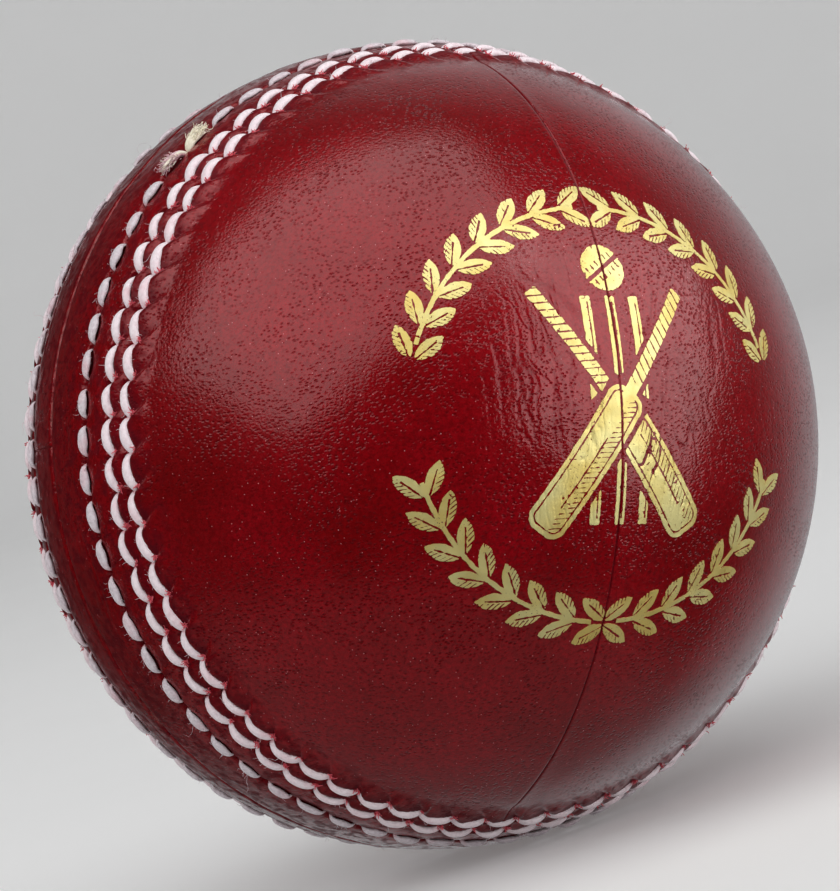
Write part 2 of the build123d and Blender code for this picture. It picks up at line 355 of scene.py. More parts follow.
# ---- mesh helpers
def make_mesh(name, points, faces, attributes=None):
    """A mesh object from points in millimetres, lists of quads and triangles, and values at the points."""
    mesh = bpy.data.meshes.new(name)
    points = np.asarray(points, float) * MM
    mesh.vertices.add(len(points))
    mesh.vertices.foreach_set("co", points.astype(np.float32).ravel())
    faces = [np.asarray(f, np.int32) for f in faces if len(f)]
    loops = np.concatenate([f.ravel() for f in faces])
    sizes = np.concatenate([np.full(len(f), f.shape[1], np.int32) for f in faces])
    starts = np.concatenate([[0], np.cumsum(sizes)[:-1]]).astype(np.int32)
    mesh.loops.add(len(loops))
    mesh.loops.foreach_set("vertex_index", loops)
    mesh.polygons.add(len(sizes))
    mesh.polygons.foreach_set("loop_start", starts)
    mesh.update(calc_edges=True)
    mesh.polygons.foreach_set("use_smooth", np.ones(len(sizes), bool))
    for key, values in (attributes or {}).items():
        attribute = mesh.attributes.new(key, "FLOAT", "POINT")
        attribute.data.foreach_set("value", np.asarray(values, np.float32))
    mesh.validate()
    piece = bpy.data.objects.new(name, mesh)
    bpy.context.scene.collection.objects.link(piece)
    return piece


def grid_quads(rows, columns, wrap=False):
    """Quads of a grid of points stored row by row."""
    i = np.arange(rows - 1)[:, None]
    j = np.arange(columns if wrap else columns - 1)[None, :]
    k = (j + 1) % columns
    corners = [i * columns + j, i * columns + k, (i + 1) * columns + k, (i + 1) * columns + j]
    return np.stack(corners, -1).reshape(-1, 4)


def unit(vectors):
    return vectors / np.linalg.norm(vectors, axis=-1, keepdims=True)


# ---- leather quarters
HALF_TURN = np.diag([-1.0, -1.0, 1.0])
CORE_GAP = 0.06  # between the leather's inside and the wound centre
CHANNEL_DEPTH = 0.9
CHANNEL_HALF = 2.5
POLE_START = 33.0  # where the mesh round the pole starts, which is finer on the stamped cup
POLE_END = CUP * pi / 2
SEAM_SPACING = 0.13
CUP_SPACING = 0.5
STAMP_SPACING = 0.16
PLAIN_SPACING = 0.6
COLUMNS = 740


def quarter_piece(name, cup, start, turn_back):
    """One closed leather quarter from the cup's surface, between its quarter seam's two ends."""
    seam_rows = np.arange(0.0, SEAM_EDGE + 2.0, SEAM_SPACING)
    cup_rows = np.arange(SEAM_EDGE + 2.0, POLE_START, CUP_SPACING)
    pole_rows = np.arange(POLE_START, POLE_END - 0.12, PLAIN_SPACING if turn_back else STAMP_SPACING)
    s = np.concatenate([seam_rows, cup_rows, pole_rows])
    edge = np.array([0.0, 0.07, 0.16, 0.28])  # columns close together beside the quarter seam, in degrees
    regular = np.linspace(0.45, 179.55, COLUMNS)
    a = start + np.radians(np.concatenate([edge, regular, (180 - edge)[::-1]]))
    grid_s, grid_a = np.meshgrid(s, a, indexing="ij")
    r, dirt_and_shade = cup.surface(grid_s, grid_a)
    outer = cup.direction(grid_s, grid_a) * r[..., None]
    # the cut edge at the joint is flat
    outer[..., 1] = np.minimum(outer[..., 1], -JOINT_HALF)

    inner_s = np.linspace(0.0, POLE_END - 1.0, 16)
    inner_grid = np.meshgrid(inner_s, a, indexing="ij")
    # a channel on the inside holds the blind stitches of the quarter seam
    channel = 1 - smooth(CHANNEL_HALF - 0.1, CHANNEL_HALF + 0.1, np.abs(cup.seam_distance(*inner_grid)))
    inner = cup.direction(*inner_grid) * (CORE + CORE_GAP + CHANNEL_DEPTH * channel)[..., None]
    inner[0, :, 1] = -JOINT_HALF

    rows = np.concatenate([outer[::-1], inner])
    pole_r = cup.surface(np.array([POLE_END]), np.array([0.0]))[0][0]
    poles = np.array([[0.0, -pole_r, 0.0], [0.0, -(CORE + CORE_GAP), 0.0]])
    points = np.concatenate([rows.reshape(-1, 3), poles])
    count, columns = rows.shape[:2]
    outer_pole, inner_pole = len(points) - 2, len(points) - 1
    j = np.arange(columns - 1)
    first = np.stack([np.full(columns - 1, outer_pole), j + 1, j], -1)
    last_row = (count - 1) * columns
    last = np.stack([last_row + j, last_row + j + 1, np.full(columns - 1, inner_pole)], -1)
    quads = grid_quads(count, columns)
    if turn_back:
        points = points @ HALF_TURN.T
    # the cut edge at the joint shows a thin undyed line
    pale = 1 - smooth(0.02, 0.26, grid_s + 0.12 * cup.noise(grid_a * CUP / 0.8, 41.0))
    pale = pale * smooth(-0.1, 0.5, cup.noise(grid_a * CUP / 2.5, 43.0))
    hidden = np.ones(inner[..., 0].size)
    # the first value darkens the leather: stains and the seam's dark line, with painted shade in the stitch
    # beds, holes, creases and under the teeth; the second is the undyed cut edge
    values = {
        key: np.concatenate([value[::-1].ravel(), hidden, [0, 1]])
        for key, value in (("dirt_and_shade", dirt_and_shade), ("cut", pale))
    }
    piece = make_mesh(name, points, [quads, first, last], values)
    work = bmesh.new()
    work.from_mesh(piece.data)
    bmesh.ops.holes_fill(work, edges=[e for e in work.edges if e.is_boundary], sides=0)
    bmesh.ops.recalc_face_normals(work, faces=work.faces)
    for face in work.faces:
        if len(face.verts) > 4:
            face.smooth = False
    work.to_mesh(piece.data)
    work.free()
    return piece


# ---- thread
def tube(centre, side, up, half_width, half_height, corners):
    """Rings of points round a line of centres."""
    ring = np.linspace(0, 2 * pi, corners, endpoint=False)
    return (
        centre[:, None, :]
        + side[:, None, :] * (np.cos(ring)[None, :] * half_width[:, None])[..., None]
        + up[:, None, :] * (np.sin(ring)[None, :] * half_height[:, None])[..., None]
    )


class Strands:
    """Collects closed tubes into one mesh, with how far along and how stained each point is.

    A stain of 1 is red dye, 0 is clean thread, and -1 is bare cream fibre.
    """

    def __init__(self):
        self.points, self.quads, self.triangles, self.along, self.stain = [], [], [], [], []
        self.count = 0

    def add(self, rings, along, stain):
        steps, corners = rings.shape[:2]
        base = self.count
        self.points.append(np.concatenate([rings.reshape(-1, 3), rings[[0, -1]].mean(1)]))
        self.quads.append(grid_quads(steps, corners, wrap=True) + base)
        j = np.arange(corners)
        k = (j + 1) % corners
        first = base + steps * corners
        top = base + (steps - 1) * corners
        self.triangles.append(np.stack([np.full(corners, first), base + k, base + j], -1))
        self.triangles.append(np.stack([np.full(corners, first + 1), top + j, top + k], -1))
        self.along.append(np.concatenate([np.repeat(along, corners), along[[0, -1]]]))
        self.stain.append(np.concatenate([np.repeat(stain, corners), stain[[0, -1]]]))
        self.count += steps * corners + 2

    def hair(self, root, way, length, thickness, stain, random, curl=0.35):
        """A loose fibre that wanders off from its root."""
        steps = 6
        turns = random.normal(0, curl, (steps, 3))
        path = [np.asarray(root, float)]
        heading = unit(np.asarray(way, float))
        for turn in turns[1:]:
            heading = unit(heading + turn)
            path.append(path[-1] + heading * length / (steps - 1))
        path = np.array(path)
        tangent = unit(np.gradient(path, axis=0))
        side = unit(np.cross(tangent, unit(path)))
        up = np.cross(side, tangent)
        half = thickness / 2 * np.linspace(1, 0.45, steps)
        self.add(tube(path, side, up, half, half, 4), np.linspace(0, 0.1, steps), np.full(steps, stain))

    def mesh(self, name, turn_back):
        points = np.concatenate(self.points)
        if turn_back:
            points = points @ HALF_TURN.T
        values = {"along": np.concatenate(self.along), "stain": np.concatenate(self.stain)}
        return make_mesh(name, points, self.quads + self.triangles, values)


def stitch_path(cup, row, number, steps):
    """Centreline, side and up directions of one stitch, and its places t from -0.5 to 0.5."""
    t = np.linspace(-0.5, 0.5, steps)
    along = row.length * row.stretch[number] * 1.06 * t + row.shift[number]
    a = 2 * pi * (number + along / row.pitch) / STITCHES
    s = row.distance + row.drift[number] + row.middle(t * 1.04, number)
    arch = 1 - (2 * np.abs(t)) ** row.arch
    crest = row.height / 2 - THREAD_SEAT - row.sink + row.lift[number]
    height = crest * arch - (THREAD_DIVE + row.sink) * (1 - arch)
    centre = cup.direction(s, a) * (cup.base(s) + height)[:, None]
    tangent = unit(np.gradient(centre, axis=0))
    side = unit(np.cross(tangent, cup.direction(s, a)))
    return t, centre, side, np.cross(side, tangent)


def fray(strands, cup, row, number, stains, heading, random):
    """A broken stitch: untwisted plies that end in loose fibres, each in one of the given stains."""
    t, centre, side, up = stitch_path(cup, row, number, 15)
    run = centre[::heading]
    side, up = side[::heading], up[::heading]
    for _ in range(9):
        spread = random.normal(0, 1, 2)
        reach = random.integers(9, 13)
        offset = side[:reach] * 0.32 * spread[0] + up[:reach] * (0.20 + 0.12 * spread[1])
        path = run[:reach] + offset * np.linspace(0.4, 1.3, reach)[:, None]
        half = 0.19 * np.linspace(1, 0.7, reach)
        shade = np.full(reach, random.choice(stains))
        strands.add(tube(path, side[:reach], up[:reach], half, half, 8), t[:reach] + number, shade)
    for _ in range(200):
        spread = random.normal(0, 1, 2)
        k = random.integers(4, 12)
        root = run[k] + side[k] * 0.38 * spread[0] + up[k] * (0.26 + 0.12 * spread[1])
        way = unit(run[k + 1] - run[k - 1]) + side[k] * 0.35 * spread[0]
        way = way + up[k] * (0.12 + 0.3 * random.random())
        strands.hair(root, way, random.uniform(0.3, 0.8), 0.08, random.choice(stains), random, 0.3)


def dyed_tuft(strands, cup, row, number, random):
    """Red fibres that the needle pulled up beside the stitch's lower end."""
    count = random.integers(12, 30)
    along = random.normal(0.40, 0.035, count) * row.length
    s = row.distance + row.drift[number] + random.normal(0.50, 0.12, count)
    a = 2 * pi * (number + (along + row.shift[number]) / row.pitch) / STITCHES
    ground = cup.surface(s, a)[0]
    out = cup.direction(s, a)
    for k in range(count):
        way = out[k] * 0.45 + np.array([0.0, -0.5, 0.0]) + random.normal(0, 0.45, 3)
        strands.hair(out[k] * (ground[k] - 0.02), way, random.uniform(0.25, 0.6), 0.12, 1.0, random)


def thread_mesh(name, cup, row, turn_back, seed, frayed=()):
    """All the stitches of one row: bent, slightly flattened threads that dive into the leather, with fuzz."""
    strands = Strands()
    random = np.random.default_rng(seed)
    for number in range(STITCHES):
        if number in frayed:
            fray(strands, cup, row, number, *frayed[number], random)
            continue
        t, centre, side, up = stitch_path(cup, row, number, 17)
        taper = (1 - row.pointed * (2 * np.abs(t)) ** row.power) * row.plump[number]
        wave = 1 + 0.03 * np.sin(14 * t + number)
        rings = tube(centre, side, up, row.width / 2 * taper * wave, row.height / 2 * taper, 14)
        depth = np.clip((2 * np.abs(t)) ** 6 + 0.16 * random.random(), 0, 1)
        strands.add(rings, t + number, depth)
        for _ in range(7):
            k = random.integers(3, 14)
            edge = random.choice((-1, 1))
            root = centre[k] + side[k] * edge * row.width * 0.42 + up[k] * 0.1
            way = side[k] * edge * random.uniform(0.3, 1.0) + up[k] * random.uniform(0.1, 0.7)
            way = way + (centre[k] - centre[k - 1]) * random.normal(0, 4)
            strands.hair(root, way, random.uniform(0.2, 0.6), 0.035, 0.05, random)
        if row is not cup.inner:
            dyed_tuft(strands, cup, row, number, random)
        if random.random() < 0.12:
            root = centre[8] + up[8] * row.height / 2
            strands.hair(root, side[8] + up[8] * 0.2, 1.8, 0.03, 0.3, random, 0.7)
    return strands.mesh(name, turn_back)


# ---- materials
def new_material(name):
    """A material, its one shader and its nodes."""
    material = bpy.data.materials.new(name)
    material.use_nodes = True
    nodes = material.node_tree.nodes
    nodes.clear()
    output = nodes.new("ShaderNodeOutputMaterial")
    shader = nodes.new("ShaderNodeBsdfPrincipled")
    material.node_tree.links.new(shader.outputs[0], output.inputs[0])
    return material, shader, Nodes(material)


class Nodes:
    """Short ways to add shader nodes to a material or a world."""

    def __init__(self, owner):
        self.tree = owner.node_tree

    def add(self, kind, inputs=None, **settings):
        node = self.tree.nodes.new(kind)
        for key, value in settings.items():
            setattr(node, key, value)
        for key, value in (inputs or {}).items():
            if hasattr(value, "is_output"):
                self.tree.links.new(value, node.inputs[key])
            else:
                node.inputs[key].default_value = value
        return node

    def link(self, source, target):
        self.tree.links.new(source, target)

    def position(self):
        return self.add("ShaderNodeTexCoord").outputs["Object"]

    def noise(self, vector, scale, detail=3.0, roughness=0.55):
        """Noise with features about 1/scale millimetres across."""
        inputs = {"Vector": vector, "Scale": scale / MM, "Detail": detail, "Roughness": roughness}
        return self.add("ShaderNodeTexNoise", inputs).outputs["Fac"]

    def spread(self, value, low, high, out_low=0.0, out_high=1.0):
        inputs = {"Value": value, "From Min": low, "From Max": high, "To Min": out_low, "To Max": out_high}
        return self.add("ShaderNodeMapRange", inputs).outputs["Result"]

    def mix(self, factor, first, second):
        """Colours sit on the Mix node's seventh and eighth sockets."""
        return self.add("ShaderNodeMix", {0: factor, 6: first, 7: second}, data_type="RGBA").outputs[2]

    def math(self, operation, first, second=0.0):
        return self.add("ShaderNodeMath", {0: first, 1: second}, operation=operation).outputs[0]

    def times(self, first, second):
        return self.math("MULTIPLY", first, second)

    def cells(self, vector, scale, feature="F1"):
        """Distance from the middles or the edges of cells about 1/scale millimetres across."""
        inputs = {"Vector": vector, "Scale": scale / MM}
        return self.add("ShaderNodeTexVoronoi", inputs, feature=feature).outputs["Distance"]

    def attribute(self, name):
        return self.add("ShaderNodeAttribute", attribute_name=name).outputs["Fac"]

    def bump(self, height, distance, strength=1.0, normal=None):
        inputs = {"Height": height, "Distance": distance * MM, "Strength": strength}
        if normal is not None:
            inputs["Normal"] = normal
        return self.add("ShaderNodeBump", inputs).outputs["Normal"]


def leather_material():
    material, shader, n = new_material("red_leather")
    place = n.position()
    dirt_and_shade = n.attribute("dirt_and_shade")
    # pebbled grain: low domes parted by fine dark pits
    warp = n.add("ShaderNodeTexNoise", {"Vector": place, "Scale": 0.8 / MM, "Detail": 3.0}).outputs["Color"]
    shift = n.add("ShaderNodeVectorMath", {0: warp, 3: 0.3 * MM}, operation="SCALE").outputs[0]
    bent = n.add("ShaderNodeVectorMath", {0: place, 1: shift}, operation="ADD").outputs[0]
    flat = n.add("ShaderNodeVectorMath", {0: bent, 1: (0.8, 0.8, 1.3)}, operation="MULTIPLY").outputs[0]
    pit = n.spread(n.cells(flat, 2.9), 0.12, 0.46, 1.0, 0.0)
    dome = n.spread(n.cells(bent, 2.3, "DISTANCE_TO_EDGE"), 0.0, 0.30)
    fine = n.noise(place, 5.5, 4.0, 0.6)
    blotch = n.noise(place, 0.09, 4.0)
    mottle = n.noise(place, 2.8, 5.0, 0.6)
    # pale specks: dust, and painted glints that stand for the tiny sparkles of the polish
    dust_and_glints = n.spread(n.cells(place, 1.7), 0.05, 0.10, 1.0, 0.0)
    worn = n.spread(n.noise(place, 0.16, 3.0), 0.35, 0.60, 0.25, 1.0)
    deep = (0.168, 0.0004, 0.0014, 1)
    bright = (0.247, 0.0007, 0.0042, 1)
    colour = n.mix(n.spread(blotch, 0.35, 0.65), deep, bright)
    colour = n.mix(n.spread(mottle, 0.40, 0.66, 0.0, 0.62), colour, (0.080, 0.0004, 0.001, 1))
    pitted = n.times(pit, worn)
    for where, strength, tint in (
        (pitted, 0.8, (0.040, 0.0004, 0.001, 1)),
        (dust_and_glints, 0.55, (0.80, 0.36, 0.38, 1)),
        # painted shade in the stitch beds, holes, creases and under the teeth, with the real stains and the
        # dark seam line
        (dirt_and_shade, 0.75, (0.030, 0.002, 0.006, 1)),
        (n.attribute("cut"), 0.8, (0.17, 0.075, 0.065, 1)),
    ):
        colour = n.mix(n.times(where, strength), colour, tint)
    n.link(colour, shader.inputs["Base Color"])
    rough = n.spread(n.noise(place, 0.5, 4.0), 0.3, 0.7, 0.34, 0.42)
    rough = n.math("ADD", rough, n.times(dirt_and_shade, 0.25))
    n.link(rough, shader.inputs["Roughness"])
    grain = n.math("SUBTRACT", n.times(dome, 0.18), pitted)
    lumps = n.bump(n.noise(place, 0.55, 3.0), 0.06, 0.4)
    skin = n.bump(fine, 0.02, 0.4, n.bump(grain, 0.035, 0.5, lumps))
    n.link(skin, shader.inputs["Normal"])
    shader.inputs["Specular IOR Level"].default_value = 1.0
    shader.inputs["Specular Tint"].default_value = (1.0, 0.02, 0.04, 1)
    # a thin clear polish that fills the grain part of the way
    filled = n.math("SUBTRACT", n.spread(dirt_and_shade, 0.0, 0.7, 1.0, 0.25), n.times(pitted, 0.8))
    n.link(n.math("MAXIMUM", filled, 0.05), shader.inputs["Coat Weight"])
    shader.inputs["Coat Roughness"].default_value = 0.13
    shader.inputs["Coat IOR"].default_value = 1.5
    polish = n.bump(n.noise(place, 0.9, 3.0, 0.5), 0.05, 0.14)
    polish = n.bump(fine, 0.014, 0.40, n.bump(grain, 0.034, 0.90, polish))
    n.link(polish, shader.inputs["Coat Normal"])
    return material


def thread_material(name, white, shade):
    material, shader, n = new_material(name)
    place = n.position()
    stain = n.attribute("stain")
    along = n.attribute("along")
    fibre = n.noise(place, 3.2, 4.0, 0.6)
    colour = n.mix(n.spread(fibre, 0.40, 0.75), white, shade)
    pink = n.spread(n.noise(place, 0.45, 3.0), 0.52, 0.72, 0.0, 0.45)
    colour = n.mix(pink, colour, (0.80, 0.42, 0.47, 1))
    colour = n.mix(n.spread(stain, 0.35, 1.0, 0.0, 0.95), colour, (0.72, 0.045, 0.08, 1))
    colour = n.mix(n.spread(stain, -0.1, -1.0), colour, (0.95, 0.88, 0.66, 1))
    n.link(colour, shader.inputs["Base Color"])
    shader.inputs["Roughness"].default_value = 0.62
    shader.inputs["Sheen Weight"].default_value = 0.35
    shader.inputs["Sheen Roughness"].default_value = 0.4
    wave = n.math("SINE", n.times(along, 40.0))
    twist = n.bump(n.math("ADD", n.times(wave, 0.12), fibre), 0.05, 0.55)
    n.link(twist, shader.inputs["Normal"])
    return material


def foil_material():
    """Gold leaf pressed into leather: satin metal with rubbed spots where the red shows through."""
    material, shader, n = new_material("gold_foil")
    place = n.position()
    tone = n.spread(n.noise(place, 0.22, 4.0), 0.38, 0.62)
    colour = n.mix(tone, (0.92, 0.72, 0.22, 1), (1.0, 0.90, 0.40, 1))
    specks = n.spread(n.noise(place, 5.0, 3.0, 0.6), 0.62, 0.68)
    rubbed = n.times(specks, n.spread(n.noise(place, 0.3, 3.0), 0.48, 0.66))
    colour = n.mix(rubbed, colour, (0.16, 0.01, 0.01, 1))
    n.link(colour, shader.inputs["Base Color"])
    n.link(n.times(n.math("SUBTRACT", 1.0, rubbed), 0.7), shader.inputs["Metallic"])
    n.link(n.spread(n.noise(place, 0.8, 4.0), 0.3, 0.7, 0.42, 0.60), shader.inputs["Roughness"])
    crumple = n.bump(n.noise(place, 1.3, 4.0, 0.6), 0.06, 0.5)
    n.link(n.bump(n.noise(place, 6.0, 3.0), 0.012, 0.5, crumple), shader.inputs["Normal"])
    return material


def plain_fibre_material(name, colour, second, scale, roughness):
    """Wool, cork and other hidden stuff: two mottled colours with a bump of the same pattern."""
    material, shader, n = new_material(name)
    place = n.position()
    pattern = n.noise(place, scale, 6.0, 0.65)
    n.link(n.mix(n.spread(pattern, 0.3, 0.7), colour, second), shader.inputs["Base Color"])
    n.link(n.spread(pattern, 0.3, 0.7, roughness - 0.1, roughness + 0.1), shader.inputs["Roughness"])
    n.link(n.bump(pattern, 0.3, 0.8), shader.inputs["Normal"])
    return material


leather = leather_material()
thread = thread_material("seam_thread", (0.94, 0.82, 0.86, 1), (0.80, 0.66, 0.70, 1))
# the inner row's darker thread: worn, and darkened with painted shade for its place down in the valley
shaded_thread = thread_material("worn_thread_with_painted_shade", (0.76, 0.68, 0.72, 1), (0.54, 0.45, 0.49, 1))
cork = plain_fibre_material("cork", (0.30, 0.17, 0.08, 1), (0.52, 0.34, 0.19, 1), 0.9, 0.85)
yarn = plain_fibre_material("worsted_yarn", (0.55, 0.48, 0.38, 1), (0.75, 0.69, 0.58, 1), 2.2, 0.9)
foil = foil_material()


def set_material(piece, material):
    piece.data.materials.clear()
    piece.data.materials.append(material)


# the pieces of the frame by the first word of their names; the rest are thread, or are replaced below
FRAME_MATERIALS = {"cork": cork, "yarn": yarn, "gold": foil}
for node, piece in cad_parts.items():
    set_material(piece, FRAME_MATERIALS.get(node.split("_")[0], thread))

# ---- build the ball
front = Cup(pi / 2 - QUARTER_LEAN, 11, 0.07)
back = Cup(QUARTER_LEAN, 57, 0.0)

for name, node, cup, start, turned in (
    ("leather_front_left", "front_left_quarter", front, front.seam_angle, False),
    ("leather_front_right", "front_right_quarter", front, front.seam_angle + pi, False),
    ("leather_back_upper", "back_upper_quarter", back, back.seam_angle, True),
    ("leather_back_lower", "back_lower_quarter", back, back.seam_angle + pi, True),
):
    piece = quarter_piece(name, cup, start, turned)
    set_material(piece, leather)
    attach(piece, "root")
    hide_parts(node)

# two hand-sewn stitches near the top have broken and frayed: their fibres' stains, and which way they point
BROKEN_STITCHES = {22: ((-1.0, -0.8), -1), 23: ((-0.7, 0.5, 0.6), 1)}

for cup_name, cup, turned in (("front", front, False), ("back", back, True)):
    for row_name, row, material in (
        ("inner", cup.inner, shaded_thread),
        ("middle", cup.middle, thread),
        ("outer", cup.outer, thread),
    ):
        frayed = BROKEN_STITCHES if row is front.inner else {}
        name = f"stitches_{cup_name}_{row_name}"
        piece = thread_mesh(name, cup, row, turned, len(row_name) + turned, frayed)
        set_material(piece, material)
        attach(piece, "root")
        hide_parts(f"{cup_name}_{row_name}_thread")

# ---- gold stamp
# The stamp is drawn flat, u to the right and v up along the front cup's quarter seam, then laid on the cup.
WREATH_RADIUS = 17.4
WREATH_GAP = 19.0  # degrees from level where the two arcs stop
STEM_TIP = 4.0
BRANCH_REACH = 90 - WREATH_GAP - STEM_TIP
STEM_WIDTH = 0.35
LEAVES = 8
LEAF_LENGTH = 3.0
LEAF_WIDTH = 1.3
LEAF_SPREAD = 32.0
LEAF_OFFSET = 1.0
BAT_TILT = 35.0
BLADE = (3.6, 14.0)
HANDLE = (1.2, 10.5)
HANDLE_OVERLAP = 0.7
BLADE_ROUND = 1.2
STUMP = (0.9, 19.0)
STUMP_SPACING = 2.3
STAMP_GAP = 0.45
STAMP_BALL = 2.0
CUT = 0.07  # half width of the lines engraved in the stamp
FOIL_LIFT = 0.045
FOIL_DEPTH = 0.07
STAMP_STEP = 0.08


def turned(u, v, degrees_round):
    """Coordinates in a drawing turned anticlockwise by that much."""
    c, s = cos(radians(degrees_round)), sin(radians(degrees_round))
    return u * c + v * s, -u * s + v * c


def box_edge(u, v, size, rounding=0.0):
    """Signed distance to the edge of a rectangle, negative inside, as all the shapes below."""
    beyond_u = np.abs(u) - size[0] / 2 + rounding
    beyond_v = np.abs(v) - size[1] / 2 + rounding
    outside = np.hypot(np.maximum(beyond_u, 0), np.maximum(beyond_v, 0))
    return outside + np.minimum(np.maximum(beyond_u, beyond_v), 0) - rounding


def stripes(value, step):
    """Distance to the nearest of a family of parallel lines."""
    return np.abs((value / step) % 1 - 0.5) * step


def leaf_edge(x, y):
    """A pointed leaf with an engraved midrib, and its lower half hatched."""
    arc = (LEAF_LENGTH**2 + LEAF_WIDTH**2) / 4 / LEAF_WIDTH
    edge = np.hypot(x, np.abs(y) + arc - LEAF_WIDTH / 2) - arc
    midrib = np.minimum(CUT - np.abs(y), 0.25 * LEAF_LENGTH - x)
    hatch = np.minimum(CUT * 0.8 - stripes(x - np.abs(y), 0.42), y - 0.17)
    return np.maximum(edge, np.maximum(midrib, hatch))


def wreath_edge(u, v):
    u = np.abs(u)
    radius = np.hypot(u, v)
    bearing = np.degrees(np.arctan2(v, u))
    best = np.full(u.shape, np.inf)
    for start in (WREATH_GAP, STEM_TIP - 90):
        along = np.radians(bearing - start - BRANCH_REACH / 2) * WREATH_RADIUS
        stem = box_edge(radius - WREATH_RADIUS, along, (STEM_WIDTH, radians(BRANCH_REACH) * WREATH_RADIUS))
        best = np.minimum(best, stem)
        for leaf_bearing in np.linspace(start, start + BRANCH_REACH, LEAVES):
            for side in (1, -1):
                spot = WREATH_RADIUS + side * LEAF_OFFSET
                from_u = u - spot * cos(radians(leaf_bearing))
                from_v = v - spot * sin(radians(leaf_bearing))
                x, y = turned(from_u, from_v, leaf_bearing + 90 - side * LEAF_SPREAD)
                best = np.minimum(best, leaf_edge(x, -side * y))
    return best


def motif_edge(u, v):
    best = np.full(u.shape, np.inf)
    for place in (-STUMP_SPACING, 0, STUMP_SPACING):
        stump = box_edge(u - place, v, STUMP, 0.15)
        groove = np.minimum(CUT - np.abs(u - place - 0.17), STUMP[1] / 2 - 0.5 - np.abs(v))
        best = np.minimum(best, np.maximum(stump, groove))
    for tilt in (BAT_TILT, -BAT_TILT):
        x, y = turned(u, v, tilt)
        from_blade = y + HANDLE[1] / 2
        from_handle = y - BLADE[1] / 2
        clear = box_edge(x, from_blade, (BLADE[0] + 2 * STAMP_GAP, BLADE[1] + 2 * STAMP_GAP))
        clear = np.minimum(clear, box_edge(x, from_handle, (HANDLE[0] + 2 * STAMP_GAP, HANDLE[1])))
        best = np.maximum(best, -clear)
        blade = box_edge(x, from_blade, BLADE, BLADE_ROUND)
        outline = CUT - np.abs(blade + 0.45)
        spine = np.minimum(CUT - np.abs(x - 0.25), 3.5 - np.abs(from_blade + 1.0))
        shade = np.minimum(CUT * 0.8 - stripes(from_blade - 0.8 * x, 0.5), np.minimum(-0.52 - blade, x - 0.4))
        blade = np.maximum(blade, np.maximum(outline, np.maximum(spine, shade)))
        handle = box_edge(x, from_handle + HANDLE_OVERLAP / 2, (HANDLE[0], HANDLE[1] + HANDLE_OVERLAP), 0.2)
        wraps = np.minimum(CUT - stripes(y + 0.6 * x, 0.75), from_handle + HANDLE[1] / 2 - 0.8)
        best = np.minimum(best, np.minimum(blade, np.maximum(handle, wraps)))
    from_ball = v - STUMP[1] / 2 - STAMP_BALL - STAMP_GAP
    x, y = turned(u, from_ball, BAT_TILT)
    ball = np.hypot(u, from_ball) - STAMP_BALL
    seam = STEM_WIDTH / 2 - np.abs(y)
    ticks = np.minimum(CUT - stripes(x, 0.55), np.minimum(0.85 - np.abs(y), np.abs(y) - 0.35))
    return np.minimum(best, np.maximum(ball, np.maximum(seam, ticks)))


def stamp_direction(u, v):
    """The direction from the ball's centre of a point in the stamp's drawing."""
    c, s = cos(QUARTER_LEAN), sin(QUARTER_LEAN)
    across = u / CUP
    upward = v / CUP
    depth = np.sqrt(np.clip(1 - across**2 - upward**2, 0.01, 1))
    return np.stack([across * c + upward * s, -depth, upward * c - across * s], -1)


def cut_shape(field, u, v):
    """Triangles and quads that fill the part of a grid where the field is negative."""
    size, columns = field.size, field.shape[1]
    ids = np.arange(size).reshape(field.shape)
    flat = field.ravel()
    a, b = ids[:-1, :-1].ravel(), ids[1:, :-1].ravel()
    c, d = ids[1:, 1:].ravel(), ids[:-1, 1:].ravel()
    inside = flat < 0
    full = inside[a] & inside[b] & inside[c] & inside[d]
    part = (inside[a] | inside[b] | inside[c] | inside[d]) & ~full
    pieces3, pieces4 = [], [np.stack([a, b, c, d], -1)[full]]

    def crossing(first, second):
        """One number for the point where the edge between two grid points meets the outline."""
        low, high = np.minimum(first, second), np.maximum(first, second)
        return size + low * np.int64(4 * columns) + (high - low)

    for one, two, three in ((a, b, c), (a, c, d)):
        corners = np.stack([one, two, three], -1)[part]
        for turn in range(3):
            p, q, r = corners[:, turn], corners[:, (turn + 1) % 3], corners[:, (turn + 2) % 3]
            lone = inside[p] & ~inside[q] & ~inside[r]
            pieces3.append(np.stack([p, crossing(p, q), crossing(p, r)], -1)[lone])
            pair = inside[p] & inside[q] & ~inside[r]
            pieces4.append(np.stack([p, q, crossing(q, r), crossing(p, r)], -1)[pair])
        pieces3.append(corners[inside[corners].all(axis=1)])
    triangles = np.concatenate(pieces3)
    quads = np.concatenate(pieces4)
    used, number = np.unique(np.concatenate([triangles.ravel(), quads.ravel()]), return_inverse=True)
    on_grid = used < size
    first = np.where(on_grid, used, (used - size) // (4 * columns))
    second = np.where(on_grid, used, first + (used - size) % (4 * columns))
    share = np.where(on_grid, 0, flat[first] / np.where(on_grid, 1, flat[first] - flat[second]))
    share = np.clip(share, 0.06, 0.94) * ~on_grid
    flat_u, flat_v = u.ravel(), v.ravel()
    return (
        flat_u[first] * (1 - share) + flat_u[second] * share,
        flat_v[first] * (1 - share) + flat_v[second] * share,
        number[: triangles.size].reshape(-1, 3),
        number[triangles.size :].reshape(-1, 4),
    )


def rim_of(triangles, quads):
    """Directed edges that belong to one face only."""
    edges = [np.stack([f, np.roll(f, -1, axis=1)], -1).reshape(-1, 2) for f in (triangles, quads)]
    edges = np.concatenate(edges)
    key = np.sort(edges, axis=1)
    _, index, count = np.unique(key, axis=0, return_index=True, return_counts=True)
    return edges[index[count == 1]]


